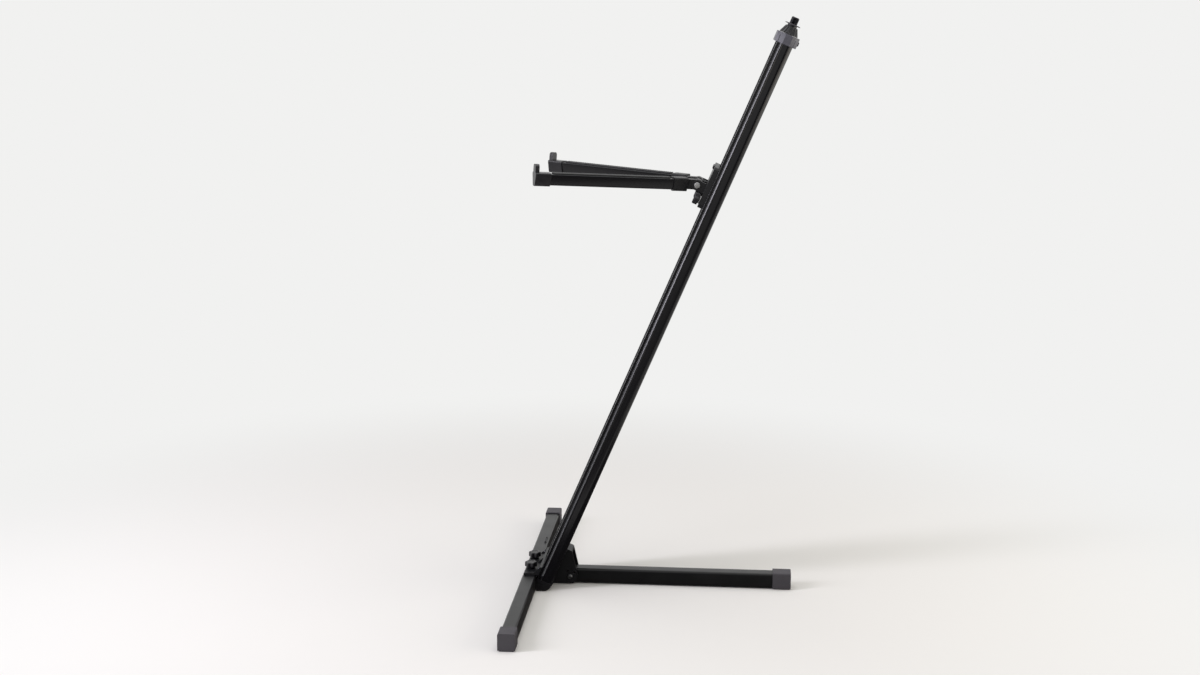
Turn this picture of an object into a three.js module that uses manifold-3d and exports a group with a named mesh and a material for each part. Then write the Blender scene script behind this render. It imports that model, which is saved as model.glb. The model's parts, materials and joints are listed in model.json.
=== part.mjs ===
// A folding keyboard stand: one leaning column on three legs, with two arms on a sliding carriage.
// Millimetres, +Z up, +X to the rear (the side the column leans to), +Y to the player's left.
// The origin is on the floor, under the middle of the column's end cap.
import * as THREE from "three";
import { mergeVertices } from "three/addons/utils/BufferGeometryUtils.js";
import Module from "manifold-3d";

const wasm = await Module();
wasm.setup();

// Column: an aluminium extrusion, open at the front, with a T-slot rail along each front edge.
const leanAngle = THREE.MathUtils.degToRad(23.25);
const frontFaceX = -17; // where the column's front face meets the floor
const columnStart = 25; // first end of the extrusion, measured along the column from the floor
const columnEnd = 1213;
const columnWidth = 129;
const columnDepth = 32;
const columnWall = 2.8;
const rearCornerRadius = 11;
const railWidth = 21.5; // width of each rail's box; the open channel lies between the rails
const railDepth = 15; // depth of each rail's box
const railBackWall = 2.5;
const slotInset = 12.5; // middle of each T-slot, from the column's widest line
const slotOpening = 8;
const slotLip = 3; // thickness of the lips that hold a slot nut
const chamberWidth = 13; // width of the T-slot behind the lips
const lipSetback = 2.5; // the front lip stands this far inside the widest line
const grooveDepth = 1.2; // shadow groove behind the front lip
const grooveWidth = 1.6;
const grooveFlank = 0.6; // run of each sloping side of the groove
const lipRounding = 1; // of the column's front edges
const bevelEnd = 9.2; // where the side bevel meets the ridge
const ridgeWidth = 3;
const ridgeHeight = 0.8; // the ridge stands proud of the flat side by this much
const ridgeCrown = 0.3; // swell of the ridge about half the column's width

// General clearances and small fasteners.
const gap = 0.3; // seated pieces
const past = 1; // cuts run this far past the faces that they open
const rooted = 1; // forms joined into one solid reach this far into each other
const boltClearance = 0.3; // radial clearance of every bolt, stud and pin
const clampBoltRadius = 4;
const screwRadius = 2.5;
const screwHeadRadius = 4.6;
const screwHeadHeight = 2.8;

// End cap and top collar.
const capWall = 2;
const capTop = 29; // along the column
const capFrontRadius = 3;
const capHeelRun = 13; // length of the cap's rounded rear heel along the floor
const capHeelRise = 17.2; // the same rounding, along the cap's rear face
const tenonLength = 18;
const collarHeight = 20;
const collarRoof = 6;
const collarOverhang = 6;
const collarFacet = 16; // run of the collar's two large end facets
const collarEndSetback = 8; // its flat ends stop this far short of the column's rear face
const collarNarrowRun = 6; // a narrow facet follows each flat end
const collarNarrowFall = 4;
const collarBevel = 1;

// Boom adapter on the top collar: ribbed cone, washer and stud.
const coneBaseRadius = 19;
const coneTopRadius = 12;
const coneHeight = 15.5;
const coneNeckRadius = 9.6;
const coneNeckHeight = 4;
const coneRibs = 14;
const coneRibDepth = 1.7;
const boomWasherRadius = 15.5;
const boomWasherFlat = 13; // radius at which the washer's drooping edge begins
const boomWasherDroop = 0.9;
const boomWasherThickness = 1.2;
const studRadius = 7.9;
const studReach = 13.5; // above the washer
const studFlangeRadius = 11;
const studFlangeHeight = 4.5;
const studBevel = 1.5;

// Leg tube, shared by the two front legs and the rear leg.
const tubeWidth = 28;
const tubeHeight = 31;
const tubeWall = 2;
const tubeCorner = 4;
const tubeLift = 1.5; // the feet hold the tubes this far off the floor
const footLength = 37;
const footProud = 2.5; // on the sides and the top
const footCorner = 2.8;
const footEndWall = 3;
const footSoleHeight = 2.2;
const footSoleInset = 2.2;
const footClearance = 0.25;

// Front legs and the saddle that carries them.
const frontBarX = -22.5;
const frontLegReach = 387; // outer face of each front foot, from the middle
const legPivotY = 31;
const saddlePlate = 4.5;
const saddleFrontInset = 3; // from the front face of the legs
const saddleEdgeBevel = 1;
const saddleFillet = 2;
const saddleFlange = 4;
const saddleFlangeTop = 50; // height of the flange's upper edge above the floor
const saddleRibThickness = 3;
const saddleRibReach = 9; // along the plate
const saddleRibTip = 0.5; // what is left of the ribs at the flange's upper edge
const saddleScrewAlong = 46; // along the column
const saddleScrewRoom = 3.4; // between a screw's head and the end rib
const clampBoltHeadHeight = 5.5;
const clampBoltHexRadius = 7.5;
const accessHoleRadius = 9;
const nosePlugInset = 9.5; // flat face of the nose plug, from the pivot
const slotNutHalfLength = 10;
const slotNutThickness = 5;
const slotNutSideClearance = 0.3;
const bumperY = 160.4; // middle of the small rubber bumper on the left front leg
const bumperSpacing = 26; // between its two studs
const bumperRadius = 2.2;
const bumperHeight = 3;
const bumperTip = 0.6; // share of the studs' radius at their tips
const bumperBaseMargin = 0.3; // of the base strip round the studs
const bumperBaseThickness = 0.8;

// Clamp knobs, all alike: two on the saddle, two on the carriage, one on the rear pivot.
const knobRadius = 12.6;
const knobLobes = 6;
const knobLobeDepth = 2.6;
const knobHeadHeight = 9;
const knobRim = 1.4;
const knobHubRadius = 8;
const knobHubHeight = 2.6;
const knobRoof = 3; // the bore stops this far under the knob's top
const knobWasherRadius = 8.5;
const knobWasherThickness = 1.5;

// Rear bracket and rear leg.
const bracketHalfWidth = 20;
const bracketPlate = 3.5;
const bracketTopFlange = 3;
const bracketBottomZ = 2.2;
const bracketTopAlong = 96.5; // along the column
const bracketTopReach = 11.3; // of the top flange, square to the column's rear face
const bracketRearX = 72.5; // rear corner of the side plates
const bracketRearZ = 20;
const bracketToeX = 63;
const bracketHeelRun = 3; // the side plates' lower rear corner is cut off twice
const bracketHeelRise = 6;
const rearPivotOffset = 29; // from the column's rear face, square to it
const rearLegEndX = 508.6; // outer face of the rear foot
const rearNose = 14; // the rear tube reaches this far past its pivot
const rearPlugLength = 6;
const rearPlugInset = 0.5;
const rearPlugCorner = 1.8;
const bushRadius = 5.8;
const legWasherThickness = 2;
const legWasherRadius = 10;
const pivotHeadRadius = 5.5;
const pivotHeadHeight = 3.4;
const pivotSocketRadius = 2.6;
const pivotSocketDepth = 2.2;
const bracketScrewSpacing = 18;
const bracketScrewAlong = [38, 68];
const indexRadius = 13.1; // distance of the index hole from the rear pivot
const indexAngle = THREE.MathUtils.degToRad(44.7);
const foldedAngle = Math.PI / 2 - leanAngle;
const indexHoleRadius = 2.6;
const indexBushRadius = 3.6; // the bush lines the near plate's index hole
const indexFlangeRadius = 4.4;
const indexFlangeThickness = 1.2;

// Carriage and arms.
const carriageAlong = 894; // middle of the carriage, along the column
const carriageHeight = 84;
const carriageHalfWidth = 60;
const carriageThickness = 10;
const carriageCorner = 8;
const carriageBumpHeight = 3.2; // a grip ridge along the carriage's upper edge
const carriageBumpBase = 9;
const carriageBumpSlope = 2;
const carriageBumpHalfWidth = 19;
const carriageKnobDrop = 27; // below the middle of the carriage
const keyHalfLength = 30;
const keyThickness = 6.5;
const keyOffset = 15; // the key reaches further up than down from its stud
const armPinDrop = 5; // below the middle of the carriage
const armPinOffset = 26.5; // in front of the column's front face
const armTilt = THREE.MathUtils.degToRad(3.6);
const armSplay = THREE.MathUtils.degToRad(20);
const armRootY = 24;
const knuckleRadius = 11;
const knuckleHalfWidth = 12;
const armWebInset = 1; // the neck and heel behind the knuckle are narrower by this, each side
const armWebTop = 1; // and the neck lower by this
const earThickness = 5;
const earRadius = 10;
const earFoot = 6; // the ears reach this much further down at their root
const earSideGap = 0.5;
const armPinRadius = 4;
const armPinHeadRadius = 6;
const armPinHeadHeight = 2.4;
const armHeight = 22;
const armTopWidth = 27;
const armBottomWidth = 11;
const armWall = 2.5;
const armRounding = 3;
const leastRounding = 0.6;
const armSleeve = 2.5; // wall of the sleeve that holds each arm
const sleeveStart = 24;
const sleeveEnd = 52;
const armTubeStart = 30;
const armTubeEnd = 318;
const armCapLength = 22;
const armCapWall = 1.8;
const armCapEnd = 8;
const armStopHeight = 15;
const armStopWidth = 18;
const armStopCorner = 6;
const padWidth = 17;
const padThickness = 2.5;
const padCorner = 0.8;
const padStart = 58;
const padEnd = 290;

const arcSteps = 5; // steps in a quarter turn of a small corner
const roundSides = 16; // sides of bolts, pins and washers
const hexSides = 6;
const screwSides = 10; // sides of small screws and studs

const blackAnodised = { color: 0x17171a, roughness: 0.28, metalness: 0.6 };
const blackPaint = { color: 0x1b1b1d, roughness: 0.42, metalness: 0.2 };
const blackPlastic = { color: 0x1d1c20, roughness: 0.6, metalness: 0 };
const greyPlastic = { color: 0x5e5e66, roughness: 0.5, metalness: 0 };
const darkRubber = { color: 0x37343a, roughness: 0.8, metalness: 0 };
const zincSteel = { color: 0x8d8f94, roughness: 0.35, metalness: 1 };
const blackSteel = { color: 0x222226, roughness: 0.45, metalness: 0.8 };

const object = new THREE.Group();

// ---- solids -------------------------------------------------------------------------------

function solidOf(geometry, matrix) {
  const bare = geometry.index ? geometry.toNonIndexed() : geometry.clone();
  bare.deleteAttribute("normal");
  bare.deleteAttribute("uv");
  if (matrix) bare.applyMatrix4(matrix);
  const merged = mergeVertices(bare, 1e-4);
  return new wasm.Manifold(
    new wasm.Mesh({
      numProp: 3,
      vertProperties: merged.attributes.position.array,
      triVerts: new Uint32Array(merged.index.array),
    }),
  );
}

function geometryOf(solid) {
  const mesh = solid.getMesh();
  const positions = new Float32Array(mesh.numVert * 3);
  for (let i = 0; i < mesh.numVert; i++) {
    for (let k = 0; k < 3; k++) positions[3 * i + k] = mesh.vertProperties[mesh.numProp * i + k];
  }
  const geometry = new THREE.BufferGeometry();
  geometry.setAttribute("position", new THREE.BufferAttribute(positions, 3));
  geometry.setIndex(new THREE.BufferAttribute(new Uint32Array(mesh.triVerts), 1));
  const flat = geometry.toNonIndexed();
  flat.computeVertexNormals();
  return flat;
}

function addPiece(parent, name, solid, look) {
  const mesh = new THREE.Mesh(geometryOf(solid), new THREE.MeshStandardMaterial(look));
  mesh.name = name;
  parent.add(mesh);
  return mesh;
}

// An outline carried along Z, X or Y. Along X the outline is drawn in (y, z), along Y in (x, z).
function alongZ(shape, from, to, bevel = 0) {
  const geometry = new THREE.ExtrudeGeometry(shape, {
    depth: to - from - 2 * bevel,
    bevelEnabled: bevel > 0,
    bevelThickness: bevel,
    bevelSize: bevel,
    bevelOffset: -bevel,
    bevelSegments: 1,
    curveSegments: arcSteps,
  });
  geometry.translate(0, 0, from + bevel);
  return solidOf(geometry);
}

function turned(solid, matrix) {
  return solidOf(geometryOf(solid), matrix);
}

function alongX(shape, from, to) {
  const axes = new THREE.Matrix4().makeBasis(
    new THREE.Vector3(0, 1, 0),
    new THREE.Vector3(0, 0, 1),
    new THREE.Vector3(1, 0, 0),
  );
  return turned(alongZ(shape, from, to), axes);
}

function alongY(shape, from, to) {
  return turned(alongZ(shape, -to, -from), new THREE.Matrix4().makeRotationX(Math.PI / 2));
}

function moved(solid, x, y, z) {
  return turned(solid, new THREE.Matrix4().makeTranslation(x, y, z));
}

function block(x0, x1, y0, y1, z0, z1) {
  const geometry = new THREE.BoxGeometry(x1 - x0, y1 - y0, z1 - z0);
  geometry.translate((x0 + x1) / 2, (y0 + y1) / 2, (z0 + z1) / 2);
  return solidOf(geometry);
}

const axisTurn = {
  x: new THREE.Matrix4().makeRotationZ(-Math.PI / 2),
  y: new THREE.Matrix4(),
  z: new THREE.Matrix4().makeRotationX(Math.PI / 2),
};

// A round bar or a hexagonal one (sides = 6) along an axis, between two places on it.
function bar(axis, radius, from, to, sides = roundSides) {
  const geometry = new THREE.CylinderGeometry(radius, radius, to - from, sides);
  geometry.translate(0, (from + to) / 2, 0);
  return solidOf(geometry, axisTurn[axis]);
}

function ring(axis, outer, inner, from, to) {
  return bar(axis, outer, from, to).subtract(bar(axis, inner, from - 1, to + 1));
}

// A profile of (radius, height) points turned about Z.
function revolve(points, sides = roundSides) {
  return solidOf(new THREE.LatheGeometry(points.map(([r, z]) => new THREE.Vector2(r, z)), sides),
    axisTurn.z);
}

function roundedRect(width, height, radius) {
  const shape = new THREE.Shape();
  const x = width / 2 - radius;
  const y = height / 2 - radius;
  shape.absarc(x, y, radius, 0, Math.PI / 2, false);
  shape.absarc(-x, y, radius, Math.PI / 2, Math.PI, false);
  shape.absarc(-x, -y, radius, Math.PI, 1.5 * Math.PI, false);
  shape.absarc(x, -y, radius, 1.5 * Math.PI, 2 * Math.PI, false);
  return shape;
}

function polygon(points) {
  return new THREE.Shape(points.map(([x, y]) => new THREE.Vector2(x, y)));
}

// ---- frames -------------------------------------------------------------------------------

// In the column's frame X runs from the front face to the rear, Y across and Z along the column.
const columnMatrix = new THREE.Matrix4()
  .makeTranslation(frontFaceX, 0, 0)
  .multiply(new THREE.Matrix4().makeRotationY(leanAngle));
const column = new THREE.Group();
column.applyMatrix4(columnMatrix);
object.add(column);

// The X at which a plane parallel to the column's front face, offset to the rear, has a height.
function columnX(offset, z) {
  return frontFaceX + offset / Math.cos(leanAngle) + z * Math.tan(leanAngle);
}

// A place in the column's frame, as (x, z) in the object's frame.
function columnPoint(x, along) {
  return [
    frontFaceX + x * Math.cos(leanAngle) + along * Math.sin(leanAngle),
    along * Math.cos(leanAngle) - x * Math.sin(leanAngle),
  ];
}

const halfWidth = columnWidth / 2;
const railInnerY = halfWidth - railWidth;
const slotY = halfWidth - slotInset;
const tubeMidZ = tubeLift + tubeHeight / 2;
const tubeTopZ = tubeLift + tubeHeight;
const columnMiddle = columnDepth / 2;

// ---- column -------------------------------------------------------------------------------

function halfColumnOutline() {
  const flatY = halfWidth - ridgeHeight;
  const lipY = halfWidth - lipSetback;
  const cornerX = columnDepth - rearCornerRadius;
  const cornerY = flatY - rearCornerRadius;
  const chamberEnd = railDepth - railBackWall;
  const grooveEnd = slotLip + grooveFlank + grooveWidth;
  const path = new THREE.Path();
  path.absarc(cornerX, cornerY, rearCornerRadius - columnWall, 0, Math.PI / 2, false);
  path.lineTo(railDepth, flatY - columnWall);
  path.lineTo(railDepth, railInnerY);
  path.lineTo(0, railInnerY);
  path.lineTo(0, slotY - slotOpening / 2);
  path.lineTo(slotLip, slotY - slotOpening / 2);
  path.lineTo(slotLip, slotY - chamberWidth / 2);
  path.lineTo(chamberEnd, slotY - chamberWidth / 2);
  path.lineTo(chamberEnd, slotY + chamberWidth / 2);
  path.lineTo(slotLip, slotY + chamberWidth / 2);
  path.lineTo(slotLip, slotY + slotOpening / 2);
  path.lineTo(0, slotY + slotOpening / 2);
  path.lineTo(0, lipY - lipRounding);
  path.quadraticCurveTo(0, lipY, lipRounding, lipY);
  path.lineTo(slotLip, lipY);
  path.lineTo(slotLip + grooveFlank, lipY - grooveDepth);
  path.lineTo(grooveEnd, lipY - grooveDepth);
  path.lineTo(grooveEnd + grooveFlank, lipY);
  path.lineTo(bevelEnd, halfWidth - ridgeCrown);
  path.quadraticCurveTo(bevelEnd + ridgeWidth / 2, halfWidth + ridgeCrown, bevelEnd + ridgeWidth, flatY);
  path.lineTo(cornerX, flatY);
  path.absarc(cornerX, cornerY, rearCornerRadius, Math.PI / 2, 0, true);
  return path.getPoints(arcSteps);
}

function columnExtrusion() {
  const half = halfColumnOutline();
  const mirrored = half.map((p) => new THREE.Vector2(p.x, -p.y)).reverse();
  const outline = new THREE.Shape([...half, ...mirrored]);
  addPiece(column, "column_extrusion", alongZ(outline, columnStart, columnEnd), blackAnodised);
}

// The column's plain outline, grown outwards: for what closes over its ends.
function columnEnvelope(grow) {
  const y = halfWidth + grow;
  const radius = rearCornerRadius + grow;
  const front = capFrontRadius + grow;
  const shape = new THREE.Shape();
  shape.moveTo(-grow, -y + front);
  shape.quadraticCurveTo(-grow, -y, -grow + front, -y);
  shape.lineTo(columnDepth + grow - radius, -y);
  shape.absarc(columnDepth + grow - radius, -y + radius, radius, -Math.PI / 2, 0, false);
  shape.absarc(columnDepth + grow - radius, y - radius, radius, 0, Math.PI / 2, false);
  shape.lineTo(-grow + front, y);
  shape.quadraticCurveTo(-grow, y, -grow, y - front);
  return shape;
}

function bottomCap() {
  const below = -2 * columnDepth;
  const shell = alongZ(columnEnvelope(capWall), below, capTop)
    .subtract(alongZ(columnEnvelope(gap), columnStart - gap, capTop + past));
  const rear = columnDepth + capWall;
  const tenonY = railInnerY - gap;
  const tenon = block(gap, columnDepth - columnWall - gap, -tenonY, tenonY,
    columnStart - rooted, columnStart + tenonLength);
  const frontX = frontBarX + tubeWidth / 2 + gap;
  const heelX = columnX(rear, 0);
  const heelTopX = columnX(rear, capHeelRise * Math.cos(leanAngle));
  const keep = new THREE.Shape();
  keep.moveTo(frontX, 0);
  keep.lineTo(heelX - capHeelRun, 0);
  keep.quadraticCurveTo(heelX, 0, heelTopX, capHeelRise * Math.cos(leanAngle));
  keep.lineTo(columnX(rear + past, 4 * capTop), 4 * capTop);
  keep.lineTo(frontX, 4 * capTop);
  const notchY = bracketHalfWidth + gap;
  const notch = block(columnDepth, rear + past, -notchY, notchY, below, capTop + past);
  const inRoot = turned(shell.add(tenon).subtract(notch), columnMatrix)
    .intersect(alongY(keep, -columnWidth, columnWidth));
  addPiece(object, "bottom_cap", inRoot, blackPlastic);
}

// ---- top collar and boom adapter ----------------------------------------------------------

const collarTop = columnEnd + collarRoof;

function topCollar() {
  const endY = halfWidth + collarOverhang;
  const front = -collarOverhang;
  const rear = columnDepth + collarOverhang;
  const endX = columnDepth - collarEndSetback;
  const half = [
    [front, endY - collarFacet],
    [front + collarFacet, endY],
    [endX, endY],
    [endX + collarNarrowRun, endY - collarNarrowFall],
    [rear, endY - collarFacet],
  ];
  const outline = polygon([...half, ...half.map(([x, y]) => [x, -y]).reverse()]);
  const collar = alongZ(outline, collarTop - collarHeight, collarTop, collarBevel)
    .subtract(alongZ(columnEnvelope(gap), collarTop - collarHeight - past, columnEnd + gap))
    .subtract(moved(bar("z", studRadius + boltClearance, columnEnd - past, collarTop + past),
      columnMiddle, 0, 0));
  const holes = [-1, 1].map((side) =>
    moved(bar("x", screwRadius + boltClearance, columnDepth - past, rear + past),
      0, side * slotY / 2, collarTop - collarHeight / 2));
  addPiece(column, "top_collar", holes.reduce((a, b) => a.subtract(b), collar), greyPlastic);
}

// A round-headed screw about Z, its head's flat seat at 0 and its shank going down.
function screw(shankLength) {
  return revolve([
    [0, -shankLength],
    [screwRadius - 0.5, -shankLength],
    [screwRadius, -shankLength + 1],
    [screwRadius, 0],
    [screwHeadRadius, 0],
    [screwHeadRadius, 0.5 * screwHeadHeight],
    [0.62 * screwHeadRadius, screwHeadHeight],
    [0, screwHeadHeight],
  ], screwSides);
}

// A screw whose shank points to +X (dir = 1) or -X (dir = -1), with its seat at a place.
function screwAlongX(dir, shankLength, x, y, z) {
  const turn = new THREE.Matrix4().makeTranslation(x, y, z)
    .multiply(new THREE.Matrix4().makeRotationY(-dir * Math.PI / 2));
  return turned(screw(shankLength), turn);
}

function collarScrews() {
  const seat = columnDepth + collarOverhang + gap;
  for (const [name, side] of [["right", -1], ["left", 1]]) {
    addPiece(column, `collar_screw_${name}`,
      screwAlongX(-1, collarOverhang - gap, seat, side * slotY / 2, collarTop - collarHeight / 2),
      blackSteel);
  }
}

function boomCone() {
  const outline = [];
  const stepsPerRib = 4;
  for (let i = 0; i < coneRibs * stepsPerRib; i++) {
    const angle = (2 * Math.PI * i) / (coneRibs * stepsPerRib);
    const inGroove = i % stepsPerRib >= stepsPerRib / 2;
    const radius = coneBaseRadius - (inGroove ? coneRibDepth : 0);
    outline.push(new THREE.Vector2(radius * Math.cos(angle), radius * Math.sin(angle)));
  }
  const geometry = new THREE.ExtrudeGeometry(new THREE.Shape(outline),
    { depth: coneHeight, bevelEnabled: false, steps: 2 });
  const position = geometry.getAttribute("position");
  for (let i = 0; i < position.count; i++) {
    const share = position.getZ(i) / coneHeight;
    const scale = 1 + share * (coneTopRadius / coneBaseRadius - 1);
    position.setX(i, position.getX(i) * scale);
    position.setY(i, position.getY(i) * scale);
  }
  const top = coneHeight + coneNeckHeight;
  const cone = solidOf(geometry)
    .add(bar("z", coneNeckRadius, coneHeight - rooted, top))
    .subtract(bar("z", studRadius + boltClearance, -past, top + past));
  addPiece(column, "boom_adapter_cone", moved(cone, columnMiddle, 0, collarTop + gap), blackPlastic);
}

const washerSeat = collarTop + coneHeight + coneNeckHeight + 2 * gap;
const washerTop = washerSeat + boomWasherThickness;

function boomWasher() {
  const inner = studRadius + boltClearance;
  const washer = revolve([
    [inner, washerSeat],
    [boomWasherFlat, washerSeat],
    [boomWasherRadius, washerSeat - boomWasherDroop],
    [boomWasherRadius, washerTop - boomWasherDroop],
    [boomWasherFlat, washerTop],
    [inner, washerTop],
    [inner, washerSeat],
  ]);
  addPiece(column, "boom_washer", moved(washer, columnMiddle, 0, 0), darkRubber);
}

function boomStud() {
  const top = washerTop + studReach;
  const flangeTop = columnEnd;
  const stud = revolve([
    [0, flangeTop - studFlangeHeight],
    [studFlangeRadius, flangeTop - studFlangeHeight],
    [studFlangeRadius, flangeTop],
    [studRadius, flangeTop],
    [studRadius, top - studBevel],
    [studRadius - studBevel, top],
    [0, top],
  ]);
  addPiece(column, "boom_stud", moved(stud, columnMiddle, 0, 0), blackSteel);
}

// ---- shared pieces ------------------------------------------------------------------------

// A lobed clamp knob about Z, standing on 0, with a blind bore for its bolt.
function knobSolid() {
  const outline = [];
  const stepsPerLobe = 5;
  const steps = knobLobes * stepsPerLobe;
  for (let i = 0; i < steps; i++) {
    const angle = (2 * Math.PI * i) / steps;
    const radius = knobRadius - knobLobeDepth * 0.5 * (1 - Math.cos(knobLobes * angle));
    outline.push(new THREE.Vector2(radius * Math.cos(angle), radius * Math.sin(angle)));
  }
  const top = knobHubHeight + knobHeadHeight;
  return alongZ(new THREE.Shape(outline), knobHubHeight, top, knobRim)
    .add(bar("z", knobHubRadius, 0, knobHubHeight + rooted))
    .subtract(bar("z", clampBoltRadius + boltClearance, -past, top - knobRoof));
}

// A leg tube about its own middle line, from one place along it to another.
function tubeAlongX(from, to) {
  const inner = roundedRect(tubeWidth - 2 * tubeWall, tubeHeight - 2 * tubeWall,
    tubeCorner - tubeWall);
  return alongX(roundedRect(tubeWidth, tubeHeight, tubeCorner), from, to)
    .subtract(alongX(inner, from - past, to + past));
}

// A moulded foot over a tube's end: its outer face at `end`, X and Y measured from the tube's
// middle line. It stands on the floor on a sole that is smaller than the rest of it.
function footAlongX(end) {
  const width = tubeWidth + 2 * footProud;
  const top = tubeHeight / 2 + footProud;
  const floor = -tubeHeight / 2 - tubeLift;
  const lifted = (shape, from, to) => moved(alongX(shape, from, to), 0, 0, (top + floor) / 2);
  const body = lifted(roundedRect(width, top - floor, footCorner), end - footLength, end);
  const sole = lifted(
    roundedRect(width - 2 * footSoleInset, top - floor, footCorner - footSoleInset / 2),
    end - footLength + footSoleInset, end - footSoleInset);
  const upper = block(end - 2 * footLength, end + past, -width, width,
    floor + footSoleHeight, 2 * top);
  const cavity = alongX(
    roundedRect(tubeWidth + 2 * footClearance, tubeHeight + 2 * footClearance,
      tubeCorner + footClearance),
    end - footLength - past, end - footEndWall);
  return body.intersect(upper).add(sole).subtract(cavity);
}

// A slot nut for the T-slot: a block behind the lips, with a hole for a screw or stud.
function slotNutSolid(halfLength, thickness, holeRadius, holeAlong) {
  const half = chamberWidth / 2 - slotNutSideClearance;
  const start = slotLip + gap;
  return block(start, start + thickness, -half, half, -halfLength, halfLength)
    .subtract(moved(bar("x", holeRadius, start - past, start + thickness + past), 0, 0, holeAlong));
}

// ---- saddle and front legs ----------------------------------------------------------------

const saddleBottomZ = tubeTopZ + gap;
const saddleTopZ = saddleBottomZ + saddlePlate;
const saddleHalfWidth = slotY + screwHeadRadius + saddleScrewRoom + saddleRibThickness;
const flangeFace = -gap - saddleFlange; // front face of the saddle's flange, in the column's frame

function saddleOutline() {
  const frontX = frontBarX - tubeWidth / 2 + saddleFrontInset;
  return polygon([
    [frontX, saddleBottomZ],
    [columnX(-gap, saddleBottomZ), saddleBottomZ],
    [columnX(-gap, saddleFlangeTop), saddleFlangeTop],
    [columnX(flangeFace, saddleFlangeTop), saddleFlangeTop],
    [columnX(flangeFace, saddleTopZ + saddleFillet), saddleTopZ + saddleFillet],
    [columnX(flangeFace, saddleTopZ) - saddleFillet, saddleTopZ],
    [frontX + saddleEdgeBevel, saddleTopZ],
    [frontX, saddleTopZ - saddleEdgeBevel],
  ]);
}

function saddleRib(from, to) {
  const footZ = saddleTopZ - rooted;
  const tipZ = saddleFlangeTop - rooted;
  const outline = polygon([
    [columnX(flangeFace, saddleTopZ) - saddleRibReach, footZ],
    [columnX(flangeFace + rooted, footZ), footZ],
    [columnX(flangeFace + rooted, tipZ), tipZ],
    [columnX(flangeFace - saddleRibTip, tipZ), tipZ],
  ]);
  return alongY(outline, from, to);
}

function frontSaddle() {
  const half = saddleRibThickness / 2;
  let saddle = alongY(saddleOutline(), -saddleHalfWidth, saddleHalfWidth)
    .add(saddleRib(-half, half))
    .add(saddleRib(-saddleHalfWidth, -saddleHalfWidth + saddleRibThickness))
    .add(saddleRib(saddleHalfWidth - saddleRibThickness, saddleHalfWidth));
  for (const side of [-1, 1]) {
    saddle = saddle
      .subtract(moved(
        bar("z", clampBoltRadius + boltClearance, saddleBottomZ - past, saddleTopZ + past),
        frontBarX, side * legPivotY, 0))
      .subtract(turned(
        moved(bar("x", screwRadius + boltClearance, flangeFace - past, past),
          0, side * slotY, saddleScrewAlong),
        columnMatrix));
  }
  addPiece(object, "front_saddle", saddle, blackSteel);
}

function saddleFasteners() {
  const seat = flangeFace - gap;
  for (const [name, side] of [["right", -1], ["left", 1]]) {
    addPiece(column, `saddle_screw_${name}`,
      screwAlongX(1, slotLip + slotNutThickness - seat, seat, side * slotY, saddleScrewAlong),
      blackSteel);
    const nut = slotNutSolid(slotNutHalfLength, slotNutThickness, screwRadius + boltClearance, 0);
    addPiece(column, `saddle_slot_nut_${name}`,
      moved(nut, 0, side * slotY, saddleScrewAlong), zincSteel);
  }
}

function frontLeg(name, side) {
  // The leg is drawn along +X from its pivot, then turned to point outwards.
  const leg = new THREE.Group();
  leg.position.set(frontBarX, side * legPivotY, tubeMidZ);
  leg.rotation.z = (side * Math.PI) / 2;
  object.add(leg);
  const end = frontLegReach - legPivotY;
  const noseRadius = tubeWidth / 2;
  const plan = new THREE.Shape();
  plan.moveTo(end, -noseRadius - past);
  plan.lineTo(end, noseRadius + past);
  plan.lineTo(0, noseRadius + past);
  plan.lineTo(0, noseRadius);
  plan.absarc(0, 0, noseRadius, Math.PI / 2, 1.5 * Math.PI, false);
  plan.lineTo(0, -noseRadius - past);
  const half = tubeHeight / 2;
  const tube = tubeAlongX(-noseRadius - past, end - footEndWall - gap)
    .intersect(alongZ(plan, -tubeHeight, tubeHeight))
    .subtract(bar("z", clampBoltRadius + boltClearance, half - tubeWall - past, half + past))
    .subtract(bar("z", accessHoleRadius, -half - past, -half + tubeWall + past));
  addPiece(leg, `front_leg_${name}`, tube, blackPaint);
  addPiece(leg, `front_foot_${name}`, footAlongX(end), darkRubber);

  const plugPlan = new THREE.Shape();
  const plugRadius = noseRadius - gap;
  const plugAngle = Math.acos(nosePlugInset / plugRadius);
  plugPlan.absarc(0, 0, plugRadius, Math.PI - plugAngle, Math.PI + plugAngle, false);
  const plugHalf = half - tubeWall - gap;
  addPiece(leg, `front_leg_nose_plug_${name}`, alongZ(plugPlan, -plugHalf, plugHalf), blackPlastic);
}

// Two small studs on one strip, near the rear edge of the left leg's top face.
function legBumper() {
  const width = 2 * (bumperRadius + bumperBaseMargin);
  const base = alongZ(roundedRect(width, width + bumperSpacing, width / 2), 0, bumperBaseThickness);
  const stud = revolve([
    [0, 0],
    [bumperRadius, 0],
    [bumperRadius, 0.5 * bumperHeight],
    [bumperTip * bumperRadius, bumperHeight],
    [0, bumperHeight],
  ], screwSides);
  const bumper = [-1, 1].reduce(
    (solid, end) => solid.add(moved(stud, 0, (end * bumperSpacing) / 2, 0)), base);
  const x = frontBarX + tubeWidth / 2 - tubeCorner - bumperRadius;
  addPiece(object, "leg_bumper_left", moved(bumper, x, bumperY, tubeTopZ + gap), darkRubber);
}

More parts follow.
